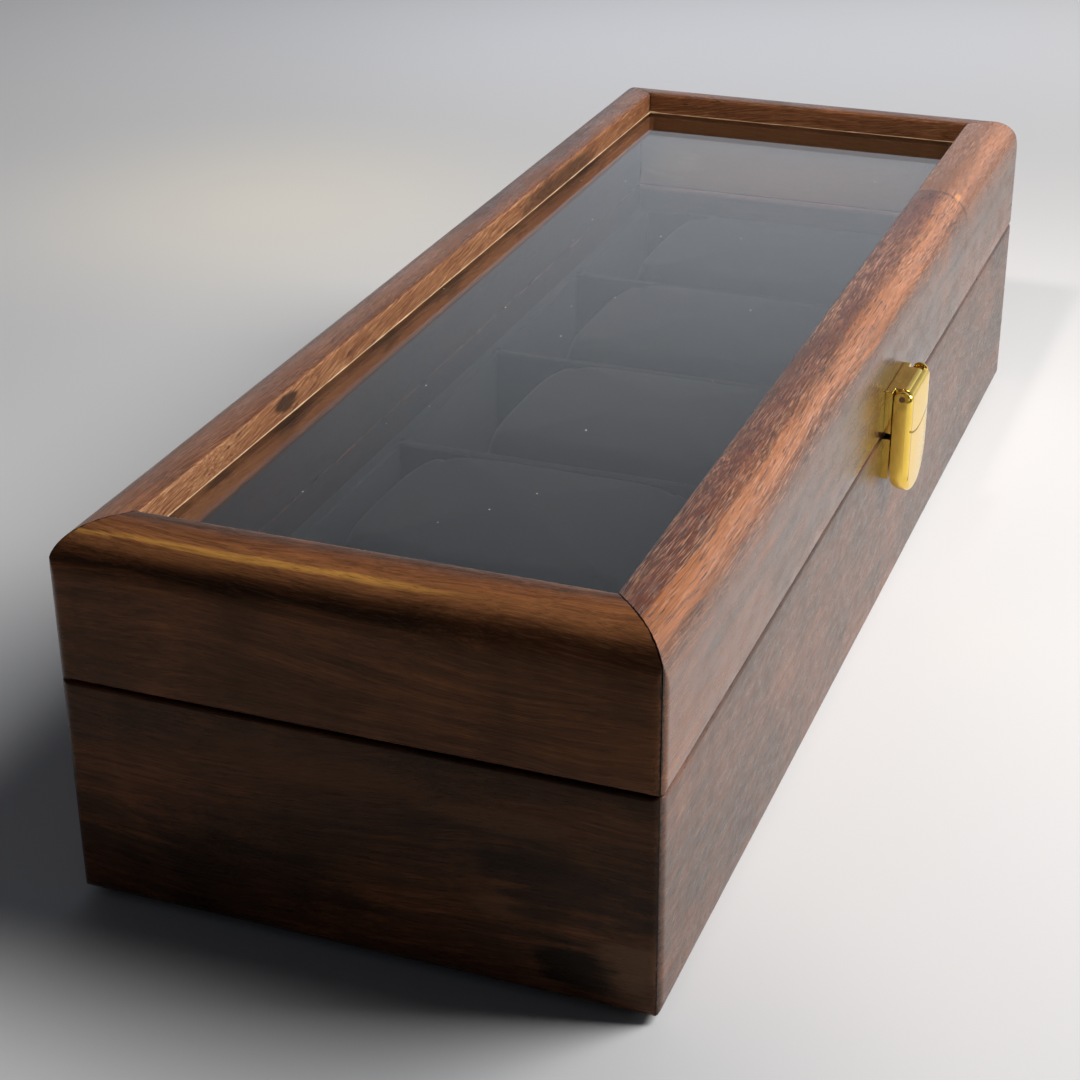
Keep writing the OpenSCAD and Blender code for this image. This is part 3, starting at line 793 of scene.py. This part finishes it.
def build_boards():
    seed = 1
    for body, section in (("base", base_section()), ("lid", lid_section())):
        for side, node_part in SIDE_NAMES.items():
            gaps = [0.06 * MM, 0.06 * MM] if body == "lid" else [0.03 * MM, 0.03 * MM]
            if body == "lid" and side == "front":
                gaps[0] = 0.16 * MM
            if body == "lid" and side == "left":
                gaps[1] = 0.16 * MM
            piece = board(f"{body}_board_{side}", section, side, seed, gaps)
            look = wood(f"wood_{body}_{side}", side, seed, **BOARD_LOOKS[body, side])
            dress(piece, look, body, [f"{body}_{node_part}"])
            seed += 1


def glue_line(name, side, seed):
    """A thin uneven fillet of dried glue where the lip of the lid meets the glass."""
    half, place = SIDES[side]
    inner = half - RAIL
    count = round(2 * inner / (0.7 * MM))
    shape = bmesh.new()
    rows = []
    for i in range(count + 1):
        s = -inner + 2 * inner * i / count
        spot = Vector((s * 1000 * 0.09, seed * 9.7, 0.0))
        blob = 0.5 + 0.5 * noise.noise(spot) + 0.35 * noise.noise(spot * 5)
        near_corner = max(0.0, 1 - (inner - abs(s)) / (7 * MM))
        r = (0.15 + 0.14 * max(0.0, blob) ** 1.6 + 0.7 * near_corner ** 2 * max(0.2, blob)) * MM
        foot = RAIL - 0.05 * MM
        row = []
        for u, z in ((foot, -0.05 * MM), (foot, 0.8 * r), (foot + 0.35 * r, 0.42 * r),
                     (foot + 1.15 * r, 0.0), (foot + 1.15 * r, -0.05 * MM)):
            x, y = place(s, u)
            row.append(shape.verts.new((x, y, GLASS_TOP + z)))
        rows.append(row)
    for a, b in zip(rows, rows[1:]):
        for i in range(5):
            j = (i + 1) % 5
            shape.faces.new((a[i], a[j], b[j], b[i]))
    shape.faces.new(rows[0])
    shape.faces.new(list(reversed(rows[-1])))
    return object_from_bmesh(name, shape, 60)


def build_glue():
    look = glue("dried_glue")
    for seed, side in enumerate(SIDES):
        dress(glue_line(f"glue_line_{side}", side, seed + 3), look, "lid")


def tongue(half, low, high, round_end, inset):
    """Outline of the hanging leaf in (x, z), drawn in by inset: down, round the end, up, across."""
    h, r = half - inset, round_end - inset
    corner, floor, top = half - round_end, low + inset, high - inset
    k = max(0.3 * MM, 1.8 * MM - inset)
    points = [(-h, z) for z in np.linspace(top - k, floor + r, 9)[:-1]]
    points += arc((-corner, floor + r), r, 180, 270, 14)
    points += arc((corner, floor + r), r, 270, 360, 14)
    points += [(h, z) for z in np.linspace(floor + r, top - k, 9)[1:-1]]
    points += arc((h - k, top - k), k, 0, 90, 5)
    points += [(x, top) for x in np.linspace(h - k, k - h, 13)[1:-1]]
    points += arc((k - h, top - k), k, 90, 180, 5)[:-1]
    return points


def build_latch_leaf(look):
    """The hanging leaf: a pressed tongue with rolled edges, side walls and two ears for the pin."""
    low, high = (Vector(v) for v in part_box("latch_leaf"))
    pin_low, pin_high = (Vector(v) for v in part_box("latch_pin"))
    pin = (pin_low + pin_high) / 2
    half, middle = (high.x - low.x) / 2, (high.x + low.x) / 2
    top = pin.z + 1 * MM
    ear_radius = 1.8 * MM
    sheet, side, roll, round_end = 0.9 * MM, 1.1 * MM, 1.25 * MM, 9 * MM
    wall_back, foot_back = high.y, low.y + 2.7 * MM

    def back_of(x, z):
        if z > pin.z:
            return low.y + roll
        wide = min(1.0, max(0.0, (abs(x) - 5.6 * MM) / (half - side - 5.6 * MM)))
        return foot_back + (wall_back - foot_back) * wide

    outline = tongue(half, low.z, top, round_end, 0.0)
    backs = [back_of(x, z) for x, z in outline]
    rings = [(0.0, backs), (0.0, [low.y + roll] * len(outline))]
    for a in (18, 36, 54, 72, 90):
        turn = math.radians(a)
        rings.append((roll * (1 - math.cos(turn)), [low.y + roll * (1 - math.sin(turn))] * len(outline)))
    shell = bmesh.new()

    def ring(inset, ys):
        points = tongue(half, low.z, top, round_end, inset)
        return [shell.verts.new((middle + x, y, z)) for (x, z), y in zip(points, ys)]

    rows = [ring(inset, [min(y, b) for y, b in zip(ys, backs)]) for inset, ys in rings]
    inside = [ring(side, backs), ring(side, [low.y + sheet] * len(outline))]
    for a, b in [*zip(rows, rows[1:]), (inside[0], rows[0]), (inside[1], inside[0])]:
        for i in range(len(a)):
            j = (i + 1) % len(a)
            shell.faces.new((a[i], a[j], b[j], b[i]))
    shell.faces.new(rows[-1])
    shell.faces.new(list(reversed(inside[-1])))
    for sign in (-1, 1):
        place = Matrix.Translation((middle + sign * (half - side / 2), pin.y, pin.z))
        ear = bmesh.ops.create_cone(
            shell, cap_ends=True, segments=40, radius1=ear_radius, radius2=ear_radius,
            depth=side - 0.04 * MM, matrix=place @ Matrix.Rotation(math.pi / 2, 4, "Y"))
        edges = {e for v in ear["verts"] for e in v.link_edges if abs(e.calc_face_angle(0)) > 1}
        bmesh.ops.bevel(shell, geom=list(edges), offset=0.25 * MM, segments=3, affect="EDGES")
    bmesh.ops.remove_doubles(shell, verts=shell.verts, dist=1e-6)
    bmesh.ops.dissolve_degenerate(shell, edges=shell.edges, dist=1e-6)
    leaf = object_from_bmesh("latch_leaf_pressed", shell, 32)
    dress(leaf, look, "latch_leaf", ["latch_leaf"])


def build_fittings():
    hinge_look = brass("hinge_brass_look", 0.2, (0.8, 0.56, 0.2))
    latch_look = brass("latch_brass_look")
    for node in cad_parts:
        if node.startswith("hinge"):
            repaint(node, hinge_look)
        elif node.startswith("latch"):
            repaint(node, latch_look)
    repaint("latch_pin", brass("latch_pin_look", 0.35, (0.2, 0.13, 0.07)))
    build_latch_leaf(brass("latch_leaf_look", engraved=True))
    for side in ("left", "right"):
        soften(f"hinge_lower_leaf_{side}", 0.15 * MM)
        soften(f"hinge_upper_leaf_{side}", 0.15 * MM)
    soften("latch_upper_plate", 0.2 * MM)
    soften("latch_lower_plate", 0.2 * MM)


def build_lining():
    cloth = velvet("lining_velvet", 0.16, 0.011)
    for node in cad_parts:
        if node.startswith(("lining", "divider")):
            repaint(node, cloth)
            soften(node, 0.9 * MM if node.startswith("divider") else 0.7 * MM, 4)


def build_glazing():
    repaint("glass_pane", clear_glass("pane_glass"))
    soften("glass_pane", 0.3 * MM, 2, shrink=0.06 * MM)
    stains = [((x * MM, HY - RAIL, GLASS_LOW), 2.2 * MM, length, DARK_TONE, 0.75)
              for x, length in ((-118, 3.5), (-84, 5.0), (-41, 3.0), (-6, 6.0), (38, 4.0), (96, 5.0))]
    strip = wood("bead_wood_look", "front", 11, 0.6, rough=0.5, inside=0.6,
                 inside_tone=(0.42, 0.15, 0.06, 1), patches=stains)
    strip_end = wood("bead_wood_look_end", "left", 12, 0.5, rough=0.5, inside=0.4,
                     inside_tone=(0.3, 0.16, 0.08, 1))
    for side in ("front", "back"):
        repaint(f"glass_bead_{side}", strip)
        soften(f"glass_bead_{side}", 0.3 * MM, 2)
    for side in ("left", "right"):
        repaint(f"glass_bead_{side}", strip_end)
        soften(f"glass_bead_{side}", 0.3 * MM, 2)


def build_underside():
    repaint("bottom_panel", plywood("panel_plywood"))
    repaint("bottom_felt", felt("underside_felt"))


# ---------------------------------------------------------------------------
# Cushions
SWELL = 7           # millimetres that a cover starts smaller, and that filling it may move a point
LAST_FRAME = 20     # frames that the filling takes


def evaluated_mesh(piece):
    """The piece's mesh with its modifiers applied."""
    graph = bpy.context.evaluated_depsgraph_get()
    return bpy.data.meshes.new_from_object(piece.evaluated_get(graph))


def bake(piece):
    """Swaps the piece's mesh for the result of its modifiers and removes them."""
    mesh = evaluated_mesh(piece)
    piece.modifiers.clear()
    piece.data = mesh


def stuffed_block(name, size):
    """A block with softened corners, remeshed evenly, a little smaller than the finished pillow."""
    shape = bmesh.new()
    bmesh.ops.create_cube(shape, size=2)
    bmesh.ops.subdivide_edges(shape, edges=shape.edges, cuts=9, use_grid_fill=True)
    for v in shape.verts:
        round_off = sum(abs(c) ** 7 for c in v.co) ** (1 / 7)
        v.co = Vector(c * s / 2 for c, s in zip(v.co / round_off, size))
    piece = object_from_bmesh(name, shape)
    remesh = piece.modifiers.new("remesh", "REMESH")
    remesh.mode = "VOXEL"
    remesh.voxel_size = 4 * MM
    bake(piece)
    return piece


def inflate(piece, pressure, cap):
    """Fills the cover by cloth simulation. Its corners hold, and no point moves further than cap."""
    start = [v.co.copy() for v in piece.data.vertices]
    reach = [max(abs(p[i]) for p in start) for i in range(3)]
    corners = piece.vertex_groups.new(name="corners")
    free = 0.72    # share of the way out to a corner that isn't held at all
    for i, p in enumerate(start):
        nearness = min(abs(p[axis]) / reach[axis] for axis in range(3))
        if nearness > free:
            corners.add([i], min(1.0, (nearness - free) * 5), "REPLACE")
    cloth = piece.modifiers.new("cloth", "CLOTH")
    cloth.settings.quality = 6
    cloth.settings.mass = 0.2
    cloth.settings.tension_stiffness = 12
    cloth.settings.compression_stiffness = 12
    cloth.settings.bending_stiffness = 0.3
    cloth.settings.shrink_min = 0.07
    cloth.settings.use_pressure = True
    cloth.settings.uniform_pressure_force = pressure
    cloth.settings.vertex_group_mass = "corners"
    cloth.settings.effector_weights.gravity = 0
    cloth.point_cache.frame_start = 1
    cloth.point_cache.frame_end = LAST_FRAME
    for frame_number in range(1, LAST_FRAME + 1):
        bpy.context.scene.frame_set(frame_number)
    bake(piece)
    for v, p in zip(piece.data.vertices, start):
        move = v.co - p
        if move.length > cap:
            v.co = p + move.normalized() * cap
    bpy.context.scene.frame_set(1)


def refine(piece, levels):
    smooth = piece.modifiers.new("subdivision", "SUBSURF")
    smooth.levels = smooth.render_levels = levels
    bake(piece)


def vertex_array(mesh, normals=False):
    """The mesh's points, or its point normals, as an array."""
    values = np.empty(3 * len(mesh.vertices))
    if normals:
        mesh.vertex_normals.foreach_get("vector", values)
    else:
        mesh.vertices.foreach_get("co", values)
    return values.reshape(-1, 3)


def move_points(mesh, points):
    mesh.vertices.foreach_set("co", points.ravel())
    mesh.update()


def fit_into(mesh, low, high):
    """Scales and moves the pillow to fill a box."""
    points = vertex_array(mesh)
    small, large = points.min(axis=0), points.max(axis=0)
    scale = (np.array(high) - np.array(low)) / (large - small)
    move_points(mesh, (points - small) * scale + np.array(low))


def sew(mesh, low, high, seed):
    """Seams round both ends, drawn in with small puckers, and a few soft creases."""
    size = high - low
    points = vertex_array(mesh)
    outward = vertex_array(mesh, normals=True)
    away = points - np.array((low + high) / 2)
    gap = np.abs(np.abs(away[:, 1]) - (size.y / 2 - 9 * MM))
    around = np.arctan2(away[:, 2] / size.z, away[:, 0] / size.x)
    uneven = np.array([noise.noise(Vector((a * 3, seed, 0))) for a in around])
    crease = np.array([
        noise.noise(Vector((x * 60, y * 26, z * 60 + seed * 5))) for x, y, z in points
    ])
    groove = np.exp(-(gap / (1.1 * MM)) ** 2) * 0.75 * MM
    puckers = 0.6 + 0.4 * np.sin(around * 46 + seed) * uneven
    pull = np.exp(-(gap / (4.5 * MM)) ** 2) * 0.35 * MM * puckers
    sink = (groove + pull) * (1 - np.abs(outward[:, 1])) + 0.35 * MM * np.maximum(0, crease)
    move_points(mesh, points - outward * sink[:, None])


def keep_inside(mesh, node, margin):
    """Brings back any point that stands outside the space the CAD solid holds."""
    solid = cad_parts[node].data
    tree = BVHTree.FromPolygons([v.co for v in solid.vertices], [p.vertices for p in solid.polygons])
    points = vertex_array(mesh)
    for i, p in enumerate(points):
        spot, outward, _, _ = tree.find_nearest(p)
        if (spot - Vector(p)).dot(outward) < margin:
            points[i] = spot - outward * margin
    move_points(mesh, points)


def build_cushion(number, cloth):
    node = f"cushion_{number}"
    low, high = (Vector(v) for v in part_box(node))
    size = high - low
    piece = stuffed_block(f"pillow_{number}", size - Vector((SWELL, SWELL, SWELL)) * MM)
    inflate(piece, 3.6 + 0.25 * number, SWELL * MM)
    refine(piece, 2)
    edge = Vector((0.15, 0.15, 0.15)) * MM
    fit_into(piece.data, low + edge, high - edge)
    sew(piece.data, low, high, number)
    keep_inside(piece.data, node, 0.1 * MM)
    shade(piece, 180)
    dress(piece, cloth, node, [node])


# ---------------------------------------------------------------------------
# Stage: floor, lights, camera
def new_lamp(name, kind, place, aim, power, colour):
    """A lamp at place that points at aim. Gives its data, for what belongs to its kind."""
    data = bpy.data.lights.new(name, kind)
    data.energy = power
    data.color = colour
    lamp = bpy.data.objects.new(name, data)
    lamp.location = place
    lamp.rotation_euler = (Vector(aim) - Vector(place)).to_track_quat("-Z", "Y").to_euler()
    bpy.context.scene.collection.objects.link(lamp)
    return data


def area_light(name, width, height, **how):
    data = new_lamp(name, "AREA", **how)
    data.shape = "RECTANGLE"
    data.size = width
    data.size_y = height


def spot_light(name, cone, **how):
    """A spot whose cone, in degrees, fades out softly."""
    data = new_lamp(name, "SPOT", **how)
    data.spot_size = math.radians(cone)
    data.spot_blend = 1.0
    data.shadow_soft_size = 0.05


def build_world():
    """A soft backdrop past the box's right end, and a dim room everywhere else."""
    world = bpy.data.worlds.new("studio")
    world.use_nodes = True
    nodes, links = world.node_tree.nodes, world.node_tree.links

    def made(kind, settings, inputs, output=0):
        node = nodes.new(kind)
        for key, value in settings.items():
            setattr(node, key, value)
        for key, value in inputs.items():
            if isinstance(value, bpy.types.NodeSocket):
                links.new(value, node.inputs[key])
            else:
                node.inputs[key].default_value = value
        return node.outputs[output]

    def towards(direction):
        here = made("ShaderNodeTexCoord", {}, {})
        return made("ShaderNodeVectorMath", {"operation": "DOT_PRODUCT"}, {0: here, 1: direction}, 1)

    def span(value, a, b, c, d):
        return made("ShaderNodeMapRange", {"interpolation_type": "SMOOTHSTEP", "clamp": True},
                    {0: value, 1: a, 2: b, 3: c, 4: d})

    height = nodes.new("ShaderNodeValToRGB")
    levels = [(0.0, 0.6), (0.26, 0.78), (0.31, 0.6), (0.36, 0.5), (0.42, 0.34), (0.5, 0.22),
              (0.7, 0.1), (1.0, 0.06)]
    while len(height.color_ramp.elements) < len(levels):
        height.color_ramp.elements.new(0.5)
    for element, (place, value) in zip(height.color_ramp.elements, levels):
        element.position = place
        element.color = (value, value, value, 1)
    links.new(towards((0, 0, 1)), height.inputs[0])
    side = span(towards((0.94, -0.34, 0.0)), 0.1, 0.95, 0.05, 1.15)
    lit = made("ShaderNodeMath", {"operation": "MULTIPLY_ADD"}, {0: height.outputs[0], 1: side, 2: 0.02})
    sky = nodes["Background"]
    sky.inputs[0].default_value = (0.92, 0.97, 1.06, 1)
    links.new(lit, sky.inputs[1])
    bpy.context.scene.world = world


def build_stage():
    shape = bmesh.new()
    bmesh.ops.create_grid(shape, x_segments=4, y_segments=4, size=3.0)
    floor = object_from_bmesh("floor", shape)
    dress(floor, paper("floor_paper", (0.715, 0.72, 0.74)))
    area_light("key", width=0.52, height=0.61, place=(0.25, -0.63, 0.78), aim=(0, 0, 0.03),
               power=13.6, colour=(1.0, 0.97, 0.93))
    # The fill reaches the inside of the far end through the glass.
    spot_light("fill", cone=10, place=(-0.9, 0.1, 1.0), aim=(0.13, 0, 0.06),
               power=32, colour=(1.0, 0.9, 0.8))
    build_world()
    bpy.context.scene.view_settings.view_transform = "Standard"


def build_camera():
    data = bpy.data.cameras.new("camera")
    data.sensor_width = 36
    data.lens = 75.85
    camera = bpy.data.objects.new("camera", data)
    forward = Vector((0.8337, 0.3213, -0.4491)).normalized()
    right = Vector((0.3564, -0.9343, -0.0067)).normalized()
    up = right.cross(forward)
    turn = Matrix((right, up, -forward)).transposed()
    camera.matrix_world = Matrix.Translation((-0.4689, -0.1561, 0.2598)) @ turn.to_4x4()
    bpy.context.scene.collection.objects.link(camera)
    bpy.context.scene.camera = camera


build_camera()
build_stage()
build_boards()
build_glue()
build_fittings()
build_lining()
build_glazing()
build_underside()
pillow_cloth = velvet("pillow_velvet", 0.12, 0.009)
for n in range(1, 6):
    build_cushion(n, pillow_cloth)
